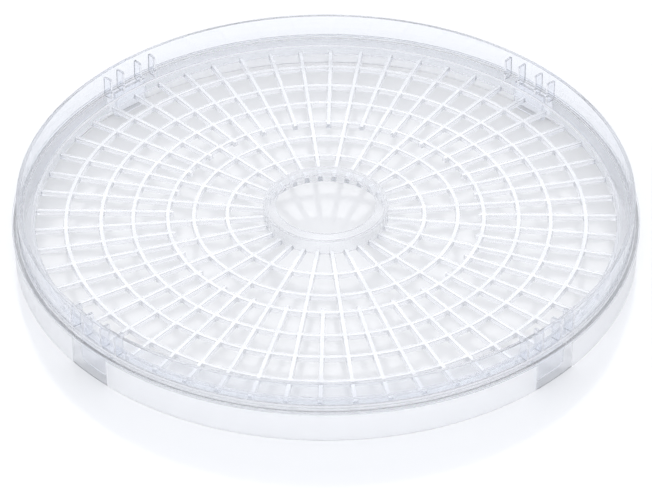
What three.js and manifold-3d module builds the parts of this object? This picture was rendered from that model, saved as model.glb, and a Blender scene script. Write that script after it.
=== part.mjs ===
// A round stackable drying tray with an open grille floor, in millimetres and degrees, +Z up.
// The origin is at the tray's centre, in the plane that the skirt stands on.
// The moulding's features are separate solids: they meet on level planes, and elsewhere keep SPLIT_GAP.
import * as THREE from 'three';
import { mergeVertices } from 'three/addons/utils/BufferGeometryUtils.js';
import Module from 'manifold-3d';

// Heights above the plane that the tray stands on.
const TRAY_HEIGHT = 33.6;
const FLANGE_TOP = 18.7;
const GRILLE_TOP = 15.0;
const HUB_TOP = 21.2;
const FIN_TOP = 31.2;
const TAB_BOTTOM = 1.0;

// Stacking flange, rim wall and skirt.
const FLANGE_RADIUS = 165.0;
const FLANGE_THICKNESS = 2.0;
const SKIRT_INSET = 0.6; // the flange overhangs the skirt by this much
const SKIRT_THICKNESS = 1.5;
const SKIRT_DRAFT = 0.2; // the skirt is this much wider at its foot
const NEST_CLEARANCE = 0.4; // between a skirt and the rim of the tray below
const RIM_THICKNESS = 2.0;
const RIM_DRAFT = 0.4; // the rim is this much narrower at its top

// Grille.
const GRILLE_RADIUS = 152.7;
const GRILLE_DEPTH = 2.6;
const GRILLE_RING_PLACES = [0.16, 0.307, 0.4215, 0.574, 0.7145, 0.869]; // shares of the way out from the hub
const SHORT_RIB_RING = 2; // index of the ring that every second rib starts from
const BAR_WIDTH = 2.6;
const SECTORS = 8;
const RIBS_PER_SECTOR = 7;
const OUTER_RING_THICKNESS = 1.6;

// Hub.
const HUB_RADIUS = 32.9;
const HUB_HOLE_RADIUS = 26.3;
const HUB_WALL_THICKNESS = 1.8;
const HUB_CAP_THICKNESS = 1.5;

// Stacking fins, and the tabs that stand on the fins of the tray below.
const FIN_DEPTH = 5.0;
const FIN_THICKNESS = 1.5;
const FIN_FOOT_RADIUS = 2.0;
const FIN_ANGLES = [-5.85, -2.3, 2.3, 5.85]; // either side of a corner's centre line
const TAB_THICKNESS = 1.8;
const TAB_ANGLE = 8.0;
const TAB_CLEARANCE = 0.5; // between a tab and the inside of the rim below

const SPLIT_GAP = 0.3; // between neighbouring features of the moulding
const WALL_SEGMENTS = 84;
const HUB_SEGMENTS = 56;

// Corners of the tray, by the direction of their centre line from +X.
const CORNERS = { back_right: 45, back_left: 135, front_left: 225, front_right: 315 };

// Sizes that follow from the ones above.
const RIB_COUNT = SECTORS * RIBS_PER_SECTOR;
const RIB_PITCH = 360 / RIB_COUNT;
const GRILLE_BOTTOM = GRILLE_TOP - GRILLE_DEPTH;
const GRILLE_RING_RADII = GRILLE_RING_PLACES.map(
  (share) => THREE.MathUtils.lerp(HUB_RADIUS, GRILLE_RADIUS, share),
);
const FLANGE_BOTTOM = FLANGE_TOP - FLANGE_THICKNESS;
const LEDGE_INNER_RADIUS = GRILLE_RADIUS + SPLIT_GAP;
const SKIRT_FOOT_RADIUS = FLANGE_RADIUS - SKIRT_INSET;
const SKIRT_TOP_RADIUS = SKIRT_FOOT_RADIUS - SKIRT_DRAFT;
const RIM_FOOT_RADIUS = SKIRT_TOP_RADIUS - SKIRT_THICKNESS - NEST_CLEARANCE;
const RIM_TOP_RADIUS = RIM_FOOT_RADIUS - RIM_DRAFT;

const CLEAR_PLASTIC = new THREE.MeshStandardMaterial({
  color: 0xe9eef4,
  roughness: 0.12,
  metalness: 0,
  transparent: true,
  opacity: 0.35,
});

const wasm = await Module();
wasm.setup();

const radians = THREE.MathUtils.degToRad;

function addNode(parent, name, geometry) {
  const mesh = new THREE.Mesh(geometry, CLEAR_PLASTIC);
  mesh.name = name;
  parent.add(mesh);
}

// The inside radius of the tapering rim at a height.
function rimInnerRadius(height) {
  const rise = (height - FLANGE_TOP) / (TRAY_HEIGHT - FLANGE_TOP);
  return RIM_FOOT_RADIUS - RIM_THICKNESS - RIM_DRAFT * rise;
}

// A ring turned about +Z. Its section is a list of [radius, height], counter-clockwise.
function turnedRing(section, segments = WALL_SEGMENTS) {
  const profile = [...section, section[0]].map(([radius, height]) => new THREE.Vector2(radius, height));
  return new THREE.LatheGeometry(profile, segments).rotateX(Math.PI / 2);
}

// A plain upright ring.
function straightRing(innerRadius, outerRadius, bottom, top, segments = WALL_SEGMENTS) {
  const section = [
    [outerRadius, bottom],
    [outerRadius, top],
    [innerRadius, top],
    [innerRadius, bottom],
  ];
  return turnedRing(section, segments);
}

// A level plate between two heights.
function flatPlate(outline, bottom, top) {
  return new THREE.ExtrudeGeometry(new THREE.Shape(outline), { depth: top - bottom, bevelEnabled: false })
    .translate(0, 0, bottom);
}

// A level plate that follows an arc, with a corner at each of the angles.
function arcPlate(innerRadius, outerRadius, angles, bottom, top) {
  const along = (radius, list) => list.map((angle) => new THREE.Vector2(
    radius * Math.cos(radians(angle)),
    radius * Math.sin(radians(angle)),
  ));
  const outline = [...along(outerRadius, angles), ...along(innerRadius, [...angles].reverse())];
  return flatPlate(outline, bottom, top);
}

function solidFrom(geometry) {
  const bare = geometry.clone();
  bare.deleteAttribute('normal');
  bare.deleteAttribute('uv');
  const welded = mergeVertices(bare);
  const vertProperties = welded.attributes.position.array;
  const triVerts = new Uint32Array(welded.index.array);
  return new wasm.Manifold(new wasm.Mesh({ numProp: 3, vertProperties, triVerts }));
}

function geometryFrom(solid) {
  const { vertProperties, triVerts } = solid.getMesh();
  const geometry = new THREE.BufferGeometry();
  geometry.setAttribute('position', new THREE.BufferAttribute(vertProperties, 3));
  geometry.setIndex(new THREE.BufferAttribute(triVerts, 1));
  return geometry;
}

function rimWall() {
  const topInner = rimInnerRadius(TRAY_HEIGHT);
  const footInner = rimInnerRadius(FLANGE_TOP);
  return turnedRing([
    [RIM_FOOT_RADIUS, FLANGE_TOP],
    [RIM_TOP_RADIUS, TRAY_HEIGHT],
    [topInner, TRAY_HEIGHT],
    [footInner, FLANGE_TOP],
  ]);
}

function skirt() {
  return turnedRing([
    [SKIRT_FOOT_RADIUS, 0],
    [SKIRT_TOP_RADIUS, FLANGE_BOTTOM],
    [SKIRT_TOP_RADIUS - SKIRT_THICKNESS, FLANGE_BOTTOM],
    [SKIRT_FOOT_RADIUS - SKIRT_THICKNESS, 0],
  ]);
}

// One rib of the grille: a bar along +X, turned to its angle.
function rib(innerRadius, angle) {
  const outline = [
    new THREE.Vector2(innerRadius, -BAR_WIDTH / 2),
    new THREE.Vector2(GRILLE_RADIUS, -BAR_WIDTH / 2),
    new THREE.Vector2(GRILLE_RADIUS, BAR_WIDTH / 2),
    new THREE.Vector2(innerRadius, BAR_WIDTH / 2),
  ];
  return flatPlate(outline, GRILLE_BOTTOM, GRILLE_TOP).rotateZ(radians(angle));
}

// A sector of the grille, which ends half-way between two ribs on either side.
function grilleSector(index) {
  const firstRib = index * RIBS_PER_SECTOR + 1;
  const ribNumbers = Array.from({ length: RIBS_PER_SECTOR }, (_, i) => firstRib + i);
  const hubEnd = HUB_RADIUS + SPLIT_GAP;
  const shortEnd = GRILLE_RING_RADII[SHORT_RIB_RING] - BAR_WIDTH;
  const start = (firstRib - 0.5) * RIB_PITCH;
  const end = start + RIBS_PER_SECTOR * RIB_PITCH;
  const bars = ribNumbers.map((number) => {
    const innerRadius = number % 2 === 1 ? hubEnd : shortEnd;
    return solidFrom(rib(innerRadius, number * RIB_PITCH));
  });
  for (const radius of GRILLE_RING_RADII) {
    const inset = THREE.MathUtils.radToDeg(SPLIT_GAP / 2 / radius);
    const angles = [start + inset, ...ribNumbers.map((number) => number * RIB_PITCH), end - inset];
    const inner = radius - BAR_WIDTH / 2;
    const outer = radius + BAR_WIDTH / 2;
    bars.push(solidFrom(arcPlate(inner, outer, angles, GRILLE_BOTTOM, GRILLE_TOP)));
  }
  const joined = bars.reduce((sum, bar) => sum.add(bar));
  return geometryFrom(joined.asOriginal().simplify()); // level faces keep no leftover edges
}

// An upright fin on the ledge, with its outer foot rounded to clear the corner under the rim.
function fin() {
  const footOuter = rimInnerRadius(FLANGE_TOP) - SPLIT_GAP;
  const topOuter = rimInnerRadius(FIN_TOP) - SPLIT_GAP;
  const inner = topOuter - FIN_DEPTH;
  const outline = new THREE.Shape();
  outline.moveTo(inner, FLANGE_TOP);
  outline.lineTo(footOuter - FIN_FOOT_RADIUS, FLANGE_TOP);
  outline.quadraticCurveTo(footOuter, FLANGE_TOP, footOuter, FLANGE_TOP + FIN_FOOT_RADIUS);
  outline.lineTo(topOuter, FIN_TOP);
  outline.lineTo(inner, FIN_TOP);
  outline.closePath();
  return new THREE.ExtrudeGeometry(outline, { depth: FIN_THICKNESS, bevelEnabled: false, curveSegments: 4 })
    .translate(0, 0, -FIN_THICKNESS / 2)
    .rotateX(Math.PI / 2);
}

function tab() {
  const outer = rimInnerRadius(TRAY_HEIGHT) - TAB_CLEARANCE;
  const steps = 4;
  const angles = Array.from({ length: steps + 1 }, (_, i) => TAB_ANGLE * (i / steps - 0.5));
  return arcPlate(outer - TAB_THICKNESS, outer, angles, TAB_BOTTOM, FLANGE_BOTTOM);
}

function addWalls(tray) {
  addNode(tray, 'rim_wall', rimWall());
  const flange = straightRing(LEDGE_INNER_RADIUS, FLANGE_RADIUS, FLANGE_BOTTOM, FLANGE_TOP);
  addNode(tray, 'stacking_flange', flange);
  addNode(tray, 'skirt', skirt());
}

function addGrille(tray) {
  const ringOuter = LEDGE_INNER_RADIUS + OUTER_RING_THICKNESS;
  addNode(tray, 'grille_ring', straightRing(LEDGE_INNER_RADIUS, ringOuter, GRILLE_BOTTOM, FLANGE_BOTTOM));
  for (let index = 0; index < SECTORS; index += 1) {
    addNode(tray, `grille_sector_${index + 1}`, grilleSector(index));
  }
}

function addHub(tray) {
  const capBottom = HUB_TOP - HUB_CAP_THICKNESS;
  const wallInner = HUB_RADIUS - HUB_WALL_THICKNESS;
  addNode(tray, 'hub_wall', straightRing(wallInner, HUB_RADIUS, GRILLE_BOTTOM, capBottom, HUB_SEGMENTS));
  addNode(tray, 'hub_cap', straightRing(HUB_HOLE_RADIUS, HUB_RADIUS, capBottom, HUB_TOP, HUB_SEGMENTS));
}

function addCorners(tray) {
  for (const [corner, centreAngle] of Object.entries(CORNERS)) {
    FIN_ANGLES.forEach((finAngle, i) => {
      addNode(tray, `fin_${corner}_${i + 1}`, fin().rotateZ(radians(centreAngle + finAngle)));
    });
    addNode(tray, `tab_${corner}`, tab().rotateZ(radians(centreAngle)));
  }
}

const tray = new THREE.Group();
addWalls(tray);
addGrille(tray);
addHub(tray);
addCorners(tray);

export default tray;
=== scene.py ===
"""A clear stackable drying tray on a glossy white surface, in metres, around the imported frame."""
import math

import bmesh
import bpy
from mathutils import Matrix, Vector


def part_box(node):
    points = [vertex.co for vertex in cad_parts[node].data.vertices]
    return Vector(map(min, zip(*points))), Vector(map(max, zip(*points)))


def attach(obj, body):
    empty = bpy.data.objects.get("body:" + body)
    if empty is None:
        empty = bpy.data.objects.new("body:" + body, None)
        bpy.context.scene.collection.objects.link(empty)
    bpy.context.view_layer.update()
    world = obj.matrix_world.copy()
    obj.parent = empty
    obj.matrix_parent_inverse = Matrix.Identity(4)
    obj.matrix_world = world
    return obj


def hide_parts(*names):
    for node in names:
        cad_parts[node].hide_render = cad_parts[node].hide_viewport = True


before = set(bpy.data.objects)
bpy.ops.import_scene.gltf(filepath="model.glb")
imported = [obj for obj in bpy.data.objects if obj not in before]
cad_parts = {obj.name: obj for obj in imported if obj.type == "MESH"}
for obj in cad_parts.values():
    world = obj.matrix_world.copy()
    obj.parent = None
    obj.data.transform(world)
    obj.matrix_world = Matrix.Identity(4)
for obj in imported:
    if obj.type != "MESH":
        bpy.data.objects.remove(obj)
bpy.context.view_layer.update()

MM = 0.001

# ---------------------------------------------------------------- sizes, read from the frame


def reach(node):
    """The outer radius, lowest and highest height of a round node."""
    low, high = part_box(node)
    return high[1], low[2], high[2]


FLANGE_R, FLANGE_BOTTOM, FLANGE_TOP = reach("stacking_flange")
RIM_FOOT_R, _, TRAY_TOP = reach("rim_wall")
SKIRT_FOOT_R, _, _ = reach("skirt")
RING_R, GRILLE_BOTTOM, _ = reach("grille_ring")
HUB_R, _, HUB_TOP = reach("hub_cap")
_, _, GRILLE_TOP = reach("grille_sector_1")
CAP_BOTTOM = reach("hub_wall")[2]
FIN_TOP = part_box("fin_back_left_1")[1][2]
TAB_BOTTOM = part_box("tab_back_left")[0][2]

RIM_DRAFT = 0.4 * MM
RIM_THICKNESS = 2.0 * MM
SKIRT_DRAFT = 0.2 * MM
SKIRT_THICKNESS = 1.5 * MM
RING_THICKNESS = 1.6 * MM
LEDGE_R = RING_R - RING_THICKNESS
HUB_HOLE_R = 26.3 * MM
HUB_WALL = 1.8 * MM
BAR_TOP_WIDTH = 2.0 * MM        # bars are drafted: narrower on top
BAR_FOOT_WIDTH = 3.0 * MM
BAR_WIDTH = (BAR_TOP_WIDTH + BAR_FOOT_WIDTH) / 2
GRILLE_R = LEDGE_R - 0.3 * MM
# The rings' places are shares of the way from the hub to the grille's edge.
RING_PLACES = (0.16, 0.307, 0.4215, 0.574, 0.7145, 0.869)
RING_RADII = [HUB_R + (GRILLE_R - HUB_R) * share for share in RING_PLACES]
SHORT_RIB_RING = 2        # index of the ring that every second rib starts from
RIBS = 56
STEPS_BETWEEN_RIBS = 4
EDGE_ROUND = 0.3 * MM
LEDGE_FILLET = 2.0 * MM
FIN_ANGLES = (-5.85, -2.3, 2.3, 5.85)
FIN_DEPTH = 5.0 * MM
FIN_THICKNESS = 1.5 * MM
FIN_CORNER = 1.2 * MM
TAB_THICKNESS = 1.8 * MM
TAB_ANGLE = 8.0
TAB_CLEARANCE = 0.5 * MM
TAB_CORNER = 1.5 * MM
TAB_STEPS = 12
BURY = 0.35 * MM        # how far a fin or tab runs into what it grows from
PLATE_EDGE_ROUND = 0.25 * MM
CORNERS = (45, 135, 225, 315)
SKIRT_FROST = 0.3        # added roughness of the textured skirt
GRILLE_HAZE = 0.08        # added roughness of the grille's bars and hub
SKIRT_MILK = 0.45        # share of the light that the textured skirt scatters
GRILLE_MILK = 0.2        # the same for the grille
POLISH = (0.03, 0.08)        # lowest and highest roughness of the bare plastic
RIM_TINT = (0.955, 0.965, 0.988, 1.0)        # rim, fins and flange
GRILLE_PAINTED_LIGHT_TINT = (0.975, 0.98, 0.992, 1.0)        # grille, hub and skirt: the rim's plastic, painted lighter as painted light for a whiter, lit look
ABSORB_TINT = (0.80, 0.86, 0.97, 1.0)
ABSORB_DENSITY = 5.0
# The skirt is left clear before each tab, half a degree past the tab's ends.
WINDOW_REACH = math.sqrt(2) * SKIRT_FOOT_R * math.sin(math.radians(TAB_ANGLE / 2 + 0.5))


def rim_inner(z):
    rise = (z - FLANGE_TOP) / (TRAY_TOP - FLANGE_TOP)
    return RIM_FOOT_R - RIM_THICKNESS - RIM_DRAFT * rise


# ---------------------------------------------------------------- the moulding's round body
# Every round surface shares one set of columns, so that ribs, rings, hub and walls meet
# corner to corner.

COLUMNS = [(rib, step) for rib in range(RIBS) for step in range(1 + STEPS_BETWEEN_RIBS)]
# step 0 runs across the rib itself; the others share the space up to the next rib.


def bar_half_width(height):
    """Half of a grille bar's width at a height, the top's above it and the foot's below it."""
    rise = (height - GRILLE_BOTTOM) / (GRILLE_TOP - GRILLE_BOTTOM)
    rise = min(1.0, max(0.0, rise))
    return (BAR_FOOT_WIDTH + (BAR_TOP_WIDTH - BAR_FOOT_WIDTH) * rise) / 2


def column_angle(column, radius, height):
    """Where a column starts: step 0 at the rib's right side, step 1 at its left side."""
    rib, step = COLUMNS[column % len(COLUMNS)]
    pitch = 2 * math.pi / RIBS
    half = math.asin(bar_half_width(height) / radius)
    if step == 0:
        return rib * pitch - half
    share = (step - 1) / STEPS_BETWEEN_RIBS
    return rib * pitch + half + share * (pitch - 2 * half)


class RoundMesh:
    """Vertices named by radius, height and column, so that equal ones are shared."""

    def __init__(self):
        self.index = {}
        self.points = []
        self.faces = []

    def vertex(self, radius, height, column):
        key = (round(radius * 1e7), round(height * 1e7), column % len(COLUMNS))
        if key not in self.index:
            angle = column_angle(column, radius, height)
            self.index[key] = len(self.points)
            self.points.append((radius * math.cos(angle), radius * math.sin(angle), height))
        return self.index[key]

    def quad(self, *corners):
        self.faces.append([self.vertex(*corner) for corner in corners])


def turn_section(mesh, section, is_open):
    """A closed section turned about +Z; is_open(a, b, column) leaves a quad out."""
    for a, b in zip(section, section[1:] + section[:1]):
        for column in range(len(COLUMNS)):
            if not is_open(a, b, column):
                mesh.quad((*a, column), (*a, column + 1), (*b, column + 1), (*b, column))


def fillet(corner, before, after, radius, steps=6):
    """Points of an arc-like curve that rounds a section's corner."""
    corner, before, after = Vector(corner), Vector(before), Vector(after)
    start = corner + (before - corner).normalized() * radius
    end = corner + (after - corner).normalized() * radius
    points = []
    for i in range(steps + 1):
        t = i / steps
        point = start * (1 - t) ** 2 + corner * 2 * t * (1 - t) + end * t ** 2
        points.append((point.x, point.y))
    return points


def wall_section():
    skirt_top_r = SKIRT_FOOT_R - SKIRT_DRAFT
    rim_foot_inner = (rim_inner(FLANGE_TOP), FLANGE_TOP)
    rim_top_inner = (rim_inner(TRAY_TOP), TRAY_TOP)
    ledge = (LEDGE_R, FLANGE_TOP)
    return [
        (LEDGE_R, GRILLE_TOP),
        (LEDGE_R, GRILLE_BOTTOM),
        (RING_R, GRILLE_BOTTOM),
        (RING_R, FLANGE_BOTTOM),
        (skirt_top_r - SKIRT_THICKNESS, FLANGE_BOTTOM),
        (SKIRT_FOOT_R - SKIRT_THICKNESS, 0.0),
        (SKIRT_FOOT_R, 0.0),
        (skirt_top_r, FLANGE_BOTTOM),
        (FLANGE_R, FLANGE_BOTTOM),
        (FLANGE_R, FLANGE_TOP),
        (RIM_FOOT_R, FLANGE_TOP),
        (RIM_FOOT_R - RIM_DRAFT, TRAY_TOP),
        rim_top_inner,
        *fillet(rim_foot_inner, rim_top_inner, ledge, LEDGE_FILLET),
        ledge,
    ]


def hub_section():
    inner = HUB_R - HUB_WALL
    return [
        (HUB_R, GRILLE_BOTTOM),
        (HUB_R, GRILLE_TOP),
        (HUB_R, HUB_TOP),
        (HUB_HOLE_R, HUB_TOP),
        (HUB_HOLE_R, CAP_BOTTOM),
        (inner, CAP_BOTTOM),
        (inner, GRILLE_BOTTOM),
    ]


class Level:
    """A circle where the grille changes, offset from its radius by a share of a bar's half width."""

    def __init__(self, radius, side=0):
        self.radius = radius
        self.side = side

    def at(self, height):
        return self.radius + self.side * bar_half_width(height)


def grille_levels():
    """The circles where the grille changes, from the hub to the ledge's upright ring."""
    levels = [Level(HUB_R)]
    for i, radius in enumerate(RING_RADII):
        if i == SHORT_RIB_RING:
            levels.append(Level(radius - BAR_FOOT_WIDTH))
        levels += [Level(radius, -1), Level(radius, 1)]
    return levels + [Level(LEDGE_R)]


def add_grille(mesh):
    levels = grille_levels()
    last = len(levels) - 2

    def filled(level, column):
        rib, step = COLUMNS[column % len(COLUMNS)]
        is_ring = levels[level].side == -1
        beyond_short_ring = levels[level].radius > RING_RADII[SHORT_RIB_RING] - 1.5 * BAR_FOOT_WIDTH
        return is_ring or (step == 0 and (rib % 2 == 1 or beyond_short_ring))

    for level in range(last + 1):
        inner_top, inner_foot = ((levels[level].at(z), z) for z in (GRILLE_TOP, GRILLE_BOTTOM))
        outer_top, outer_foot = ((levels[level + 1].at(z), z) for z in (GRILLE_TOP, GRILLE_BOTTOM))
        for column in range(len(COLUMNS)):
            if not filled(level, column):
                continue
            after = column + 1
            mesh.quad((*inner_top, column), (*outer_top, column),
                      (*outer_top, after), (*inner_top, after))
            mesh.quad((*inner_foot, after), (*outer_foot, after),
                      (*outer_foot, column), (*inner_foot, column))
            if not filled(level, column - 1):
                mesh.quad((*inner_foot, column), (*outer_foot, column),
                          (*outer_top, column), (*inner_top, column))
            if not filled(level, after):
                mesh.quad((*inner_top, after), (*outer_top, after),
                          (*outer_foot, after), (*inner_foot, after))
            if level > 0 and not filled(level - 1, column):
                mesh.quad((*inner_top, column), (*inner_top, after),
                          (*inner_foot, after), (*inner_foot, column))
            if level < last and not filled(level + 1, column):
                mesh.quad((*outer_foot, column), (*outer_foot, after),
                          (*outer_top, after), (*outer_top, column))

    def beside_grille(a, b, radius):
        return a[0] == b[0] == radius and max(a[1], b[1]) <= GRILLE_TOP + 1e-7

    def rib_joins_wall(a, b, column):
        return beside_grille(a, b, LEDGE_R) and filled(last, column)

    def rib_joins_hub(a, b, column):
        return beside_grille(a, b, HUB_R) and filled(0, column)

    turn_section(mesh, wall_section(), rib_joins_wall)
    turn_section(mesh, hub_section(), rib_joins_hub)


def apply_modifiers(obj):
    bpy.context.view_layer.update()
    evaluated = obj.evaluated_get(bpy.context.evaluated_depsgraph_get())
    made = bpy.data.meshes.new_from_object(evaluated)
    obj.modifiers.clear()
    obj.data = made


def new_object(name, points, faces):
    mesh = bpy.data.meshes.new(name)
    mesh.from_pydata(points, [], faces)
    mesh.validate()
    obj = bpy.data.objects.new(name, mesh)
    bpy.context.scene.collection.objects.link(obj)
    return obj


def fix_normals(obj):
    work = bmesh.new()
    work.from_mesh(obj.data)
    bmesh.ops.recalc_face_normals(work, faces=work.faces)
    work.to_mesh(obj.data)
    work.free()


def round_edges(obj, width, segments=2):
    bevel = obj.modifiers.new("edges", "BEVEL")
    bevel.width = width
    bevel.segments = segments
    bevel.limit_method = "ANGLE"
    bevel.angle_limit = math.radians(40)
    bevel.use_clamp_overlap = True
    bevel.miter_outer = "MITER_SHARP"
    apply_modifiers(obj)


def round_body():
    mesh = RoundMesh()
    add_grille(mesh)
    body = new_object("clear_tray", mesh.points, mesh.faces)
    fix_normals(body)
    round_edges(body, EDGE_ROUND)
    return body


# ---------------------------------------------------------------- fins and tabs


def upright_plate(name, outline, thickness):
    """A plate in the XZ plane, from a list of (x, z), centred on y = 0."""
    half = thickness / 2
    points = [(x, -half, z) for x, z in outline] + [(x, half, z) for x, z in outline]
    count = len(outline)
    faces = [list(range(count)), list(range(2 * count - 1, count - 1, -1))]
    faces += [[i, (i + 1) % count, count + (i + 1) % count, count + i] for i in range(count)]
    plate = new_object(name, points, faces)
    fix_normals(plate)
    return plate


def make_fin(name):
    top_outer = rim_inner(FIN_TOP)
    inner = top_outer - FIN_DEPTH
    outline = [
        (inner, FLANGE_TOP - BURY),
        (rim_inner(FLANGE_TOP) + BURY, FLANGE_TOP - BURY),
        (top_outer + BURY, FIN_TOP),
        *fillet((inner, FIN_TOP), (top_outer, FIN_TOP), (inner, FLANGE_TOP), FIN_CORNER),
    ]
    fin = upright_plate(name, outline, FIN_THICKNESS)
    round_edges(fin, PLATE_EDGE_ROUND)
    return fin


def make_tab(name):
    outer = rim_inner(TRAY_TOP) - TAB_CLEARANCE
    inner = outer - TAB_THICKNESS
    points, faces = [], []
    lifts = {0: TAB_CORNER, 1: 0.35 * TAB_CORNER}        # the foot's rounded corners
    for i in range(TAB_STEPS + 1):
        angle = math.radians(TAB_ANGLE * (i / TAB_STEPS - 0.5))
        lift = lifts.get(min(i, TAB_STEPS - i), 0.0)
        for radius, z in ((inner, TAB_BOTTOM + lift), (outer, TAB_BOTTOM + lift),
                          (outer, FLANGE_BOTTOM + BURY), (inner, FLANGE_BOTTOM + BURY)):
            points.append((radius * math.cos(angle), radius * math.sin(angle), z))
    for i in range(TAB_STEPS):
        for j in range(4):
            a, b = 4 * i + j, 4 * i + (j + 1) % 4
            faces.append([a, b, b + 4, a + 4])
    faces += [[3, 2, 1, 0], [4 * TAB_STEPS + j for j in range(4)]]
    tab = new_object(name, points, faces)
    fix_normals(tab)
    round_edges(tab, PLATE_EDGE_ROUND)
    return tab


def turned(obj, degrees):
    obj.data.transform(Matrix.Rotation(math.radians(degrees), 4, "Z"))
    return obj


def join_into(body, extras):
    """Unites closed solids into the body's mesh."""
    gathered = bmesh.new()
    for extra in extras:
        gathered.from_mesh(extra.data)
        bpy.data.objects.remove(extra)
    tool_mesh = bpy.data.meshes.new("extras")
    gathered.to_mesh(tool_mesh)
    gathered.free()
    tool = bpy.data.objects.new("extras", tool_mesh)
    bpy.context.scene.collection.objects.link(tool)
    union = body.modifiers.new("union", "BOOLEAN")
    union.operation = "UNION"
    union.solver = "MANIFOLD"
    union.object = tool
    apply_modifiers(body)
    bpy.data.objects.remove(tool)


def build_tray():
    body = round_body()
    extras = []
    for corner in CORNERS:
        for angle in FIN_ANGLES:
            extras.append(turned(make_fin("fin"), corner + angle))
        extras.append(turned(make_tab("tab"), corner))
    join_into(body, extras)
    for face in body.data.polygons:
        face.use_smooth = True
    body.data.set_sharp_from_angle(angle=math.radians(50))
    weighted = body.modifiers.new("normals", "WEIGHTED_NORMAL")
    weighted.keep_sharp = True
    weighted.weight = 100
    return body


# ---------------------------------------------------------------- materials


class Graph:
    """The node graph of one material, whose inputs take values or other nodes' outputs."""

    def __init__(self, material):
        material.use_nodes = True
        self.nodes = material.node_tree.nodes
        self.links = material.node_tree.links
        self.nodes.clear()

    def feed(self, socket, source):
        if isinstance(source, bpy.types.NodeSocket):
            self.links.new(source, socket)
        else:
            socket.default_value = source

    def add(self, kind, inputs):
        node = self.nodes.new(kind)
        for name, source in inputs.items():
            self.feed(node.inputs[name], source)
        return node

    def maths(self, operation, first, second=0.0):
        node = self.nodes.new("ShaderNodeMath")
        node.operation = operation
        self.feed(node.inputs[0], first)
        self.feed(node.inputs[1], second)
        return node.outputs["Value"]

    def above(self, value, edge, width):
        """0 below an edge and 1 above it, eased over a width."""
        ease = self.add("ShaderNodeMapRange", {
            "From Min": edge - width / 2,
            "From Max": edge + width / 2,
            "Value": value,
        })
        return ease.outputs["Result"]

    def below(self, value, edge, width):
        """1 below an edge and 0 above it, eased over a width."""
        return self.above(self.maths("MULTIPLY", value, -1.0), -edge, width)

    def noise(self, place, scale, detail):
        texture = self.add("ShaderNodeTexNoise", {"Scale": scale, "Detail": detail, "Vector": place})
        return texture.outputs["Fac"]


def tray_regions(graph, place):
    """Masks of the textured skirt, of all that is inside the ledge, and of the grille."""
    split = graph.add("ShaderNodeSeparateXYZ", {"Vector": place})
    x, y, z = (split.outputs[axis] for axis in "XYZ")
    squares = graph.maths("ADD", graph.maths("MULTIPLY", x, x), graph.maths("MULTIPLY", y, y))
    out_from_axis = graph.maths("POWER", squares, 0.5)
    beyond_ring = graph.above(out_from_axis, RING_R + 2 * MM, 2 * MM)
    below_flange = graph.below(z, FLANGE_BOTTOM, 0.4 * MM)
    off_diagonal = graph.maths("SUBTRACT", graph.maths("ABSOLUTE", x), graph.maths("ABSOLUTE", y))
    away_from_tabs = graph.above(graph.maths("ABSOLUTE", off_diagonal), WINDOW_REACH, 1.5 * MM)
    skirt = graph.maths("MULTIPLY", beyond_ring, below_flange)
    skirt = graph.maths("MULTIPLY", skirt, away_from_tabs)
    inside_ledge = graph.below(out_from_axis, LEDGE_R, 0.6 * MM)
    outside_hub = graph.above(out_from_axis, HUB_R, 1 * MM)
    grille = graph.maths("MULTIPLY", inside_ledge, outside_hub)
    return skirt, inside_ledge, grille


def clear_plastic():
    """Clear, faintly blue plastic: textured and milky on the skirt, a little hazy on the grille."""
    material = bpy.data.materials.new("clear_plastic_fine")
    graph = Graph(material)
    place = graph.add("ShaderNodeTexCoord", {}).outputs["Object"]
    skirt, inside_ledge, grille = tray_regions(graph, place)

    polish = graph.add("ShaderNodeMapRange", {
        "From Min": 0.3,
        "From Max": 0.7,
        "To Min": POLISH[0],
        "To Max": POLISH[1],
        "Value": graph.noise(place, 90.0, 3.0),
    })
    frost = graph.maths("MULTIPLY", skirt, SKIRT_FROST)
    haze = graph.maths("MULTIPLY", inside_ledge, GRILLE_HAZE)
    roughness = graph.maths("ADD", graph.maths("ADD", polish.outputs["Result"], frost), haze)

    # Painted light: the grille, hub and skirt take a lighter tint than the rim, though all are one
    # plastic.
    tint = graph.nodes.new("ShaderNodeMix")
    tint.data_type = "RGBA"
    graph.feed(tint.inputs["Factor"], graph.maths("MAXIMUM", skirt, inside_ledge))
    graph.feed(tint.inputs["A"], RIM_TINT)
    graph.feed(tint.inputs["B"], GRILLE_PAINTED_LIGHT_TINT)

    # The milky share is on the outer side of each face only, so that light inside passes freely.
    inner_side = graph.add("ShaderNodeNewGeometry", {}).outputs["Backfacing"]
    outer_side = graph.maths("SUBTRACT", 1.0, inner_side)
    milk = graph.maths("ADD", graph.maths("MULTIPLY", skirt, SKIRT_MILK),
                       graph.maths("MULTIPLY", grille, GRILLE_MILK))
    milk = graph.maths("MULTIPLY", milk, outer_side)

    ripple = graph.add("ShaderNodeBump", {
        "Strength": 0.12,
        "Distance": 0.4 * MM,
        "Height": graph.noise(place, 120.0, 2.0),
    })
    shader = graph.add("ShaderNodeBsdfPrincipled", {
        "Base Color": tint.outputs["Result"],
        "Roughness": roughness,
        "IOR": 1.5,
        "Transmission Weight": graph.maths("SUBTRACT", 1.0, milk),
        "Normal": ripple.outputs["Normal"],
    })
    absorb = graph.add("ShaderNodeVolumeAbsorption", {"Color": ABSORB_TINT, "Density": ABSORB_DENSITY})
    graph.add("ShaderNodeOutputMaterial", {
        "Surface": shader.outputs["BSDF"],
        "Volume": absorb.outputs["Volume"],
    })
    return material


def white_gloss():
    material = bpy.data.materials.new("white_floor")
    material.use_nodes = True
    shader = material.node_tree.nodes["Principled BSDF"]
    shader.inputs["Base Color"].default_value = (0.62, 0.62, 0.62, 1.0)
    shader.inputs["Roughness"].default_value = 0.13
    shader.inputs["IOR"].default_value = 1.9
    return material


# ---------------------------------------------------------------- floor, light and camera

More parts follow.
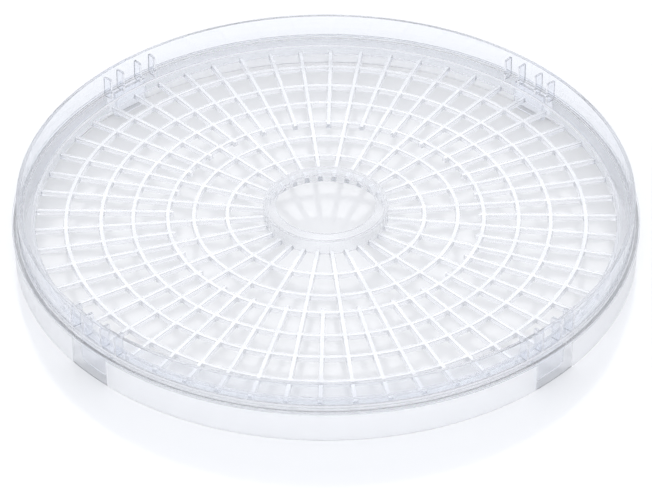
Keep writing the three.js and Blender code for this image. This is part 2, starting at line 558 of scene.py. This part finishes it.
FLOOR_HALF = 3.0
WORLD_COLOUR = (0.95, 0.962, 1.0, 1.0)
WORLD_STRENGTH = 0.89
WHITE = (1.0, 1.0, 1.0)
COOL = (0.94, 0.957, 1.0)
SOFTBOXES = (
    # name, place, size, watts, colour, casts shadow, lights dull surfaces, is seen in glossy ones
    ("fill", (0.0, 0.0, 2.5), 2.0, 42.0, COOL, False, True, False),
    ("back", (0.0, 1.9, 1.5), 1.6, 7.0, WHITE, True, False, True),
    ("front", (0.0, -2.0, 0.3), 1.0, 2.5, COOL, False, True, False),
    ("front_high", (0.0, -1.7, 1.7), 1.0, 13.0, COOL, True, True, False),
    ("left", (-1.8, -0.4, 0.4), 1.0, 4.0, COOL, False, True, False),
    ("right", (1.8, -0.4, 0.4), 1.0, 4.0, COOL, False, True, False),
)


def make_floor():
    low, high = -FLOOR_HALF, FLOOR_HALF
    corners = [(low, low, 0), (high, low, 0), (high, high, 0), (low, high, 0)]
    floor = new_object("floor", corners, [[0, 1, 2, 3]])
    floor.data.materials.append(white_gloss())


def add_softbox(name, place, size, watts, colour, casts_shadow, lights_dull, in_gloss):
    """A square lamp aimed at the tray."""
    light = bpy.data.lights.new(name, "AREA")
    light.color = colour
    light.use_shadow = casts_shadow
    light.shape = "SQUARE"
    light.size = size
    light.energy = watts
    lamp = bpy.data.objects.new(name, light)
    lamp.location = place
    lamp.rotation_euler = (-Vector(place)).to_track_quat("-Z", "Y").to_euler()
    lamp.visible_diffuse = lights_dull
    lamp.visible_glossy = in_gloss
    lamp.visible_transmission = False
    bpy.context.scene.collection.objects.link(lamp)


def set_light():
    world = bpy.data.worlds.new("soft_white")
    world.use_nodes = True
    background = world.node_tree.nodes["Background"]
    background.inputs["Color"].default_value = WORLD_COLOUR
    background.inputs["Strength"].default_value = WORLD_STRENGTH
    bpy.context.scene.world = world
    for softbox in SOFTBOXES:
        add_softbox(*softbox)


CAMERA_ELEVATION = math.radians(37.09)
CAMERA_AZIMUTH = math.radians(1.1)
CAMERA_TILT = math.radians(0.744)        # the view aims a little below the tray's middle
CAMERA_ROLL = math.radians(-0.13)
CAMERA_DISTANCE = 1.547
CAMERA_LENS = 161.8
CLEAR_BOUNCES = 96        # a ray crosses many faces of clear plastic
DULL_BOUNCES = 6


def set_camera():
    data = bpy.data.cameras.new("camera")
    data.lens = CAMERA_LENS
    data.sensor_width = 36.0
    data.clip_end = 20.0
    camera = bpy.data.objects.new("camera", data)
    back = Vector((
        math.sin(CAMERA_AZIMUTH) * math.cos(CAMERA_ELEVATION),
        -math.cos(CAMERA_AZIMUTH) * math.cos(CAMERA_ELEVATION),
        math.sin(CAMERA_ELEVATION),
    ))
    camera.location = Vector((0, 0, GRILLE_TOP)) + back * CAMERA_DISTANCE
    look = Matrix.Rotation(CAMERA_AZIMUTH, 4, "Z")
    look = look @ Matrix.Rotation(math.pi / 2 - CAMERA_ELEVATION - CAMERA_TILT, 4, "X")
    look = look @ Matrix.Rotation(CAMERA_ROLL, 4, "Z")
    camera.rotation_euler = look.to_euler()
    bpy.context.scene.collection.objects.link(camera)
    bpy.context.scene.camera = camera


set_camera()
make_floor()
set_light()
tray = build_tray()
tray.data.materials.clear()
tray.data.materials.append(clear_plastic())
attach(tray, "root")
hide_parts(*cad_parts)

cycles = bpy.context.scene.cycles
cycles.max_bounces = CLEAR_BOUNCES
cycles.transmission_bounces = CLEAR_BOUNCES
cycles.glossy_bounces = CLEAR_BOUNCES
cycles.diffuse_bounces = DULL_BOUNCES
cycles.caustics_refractive = True
cycles.caustics_reflective = False
bpy.context.scene.view_settings.view_transform = "Standard"
bpy.context.scene.view_settings.look = "None"

bpy.context.view_layer.update()
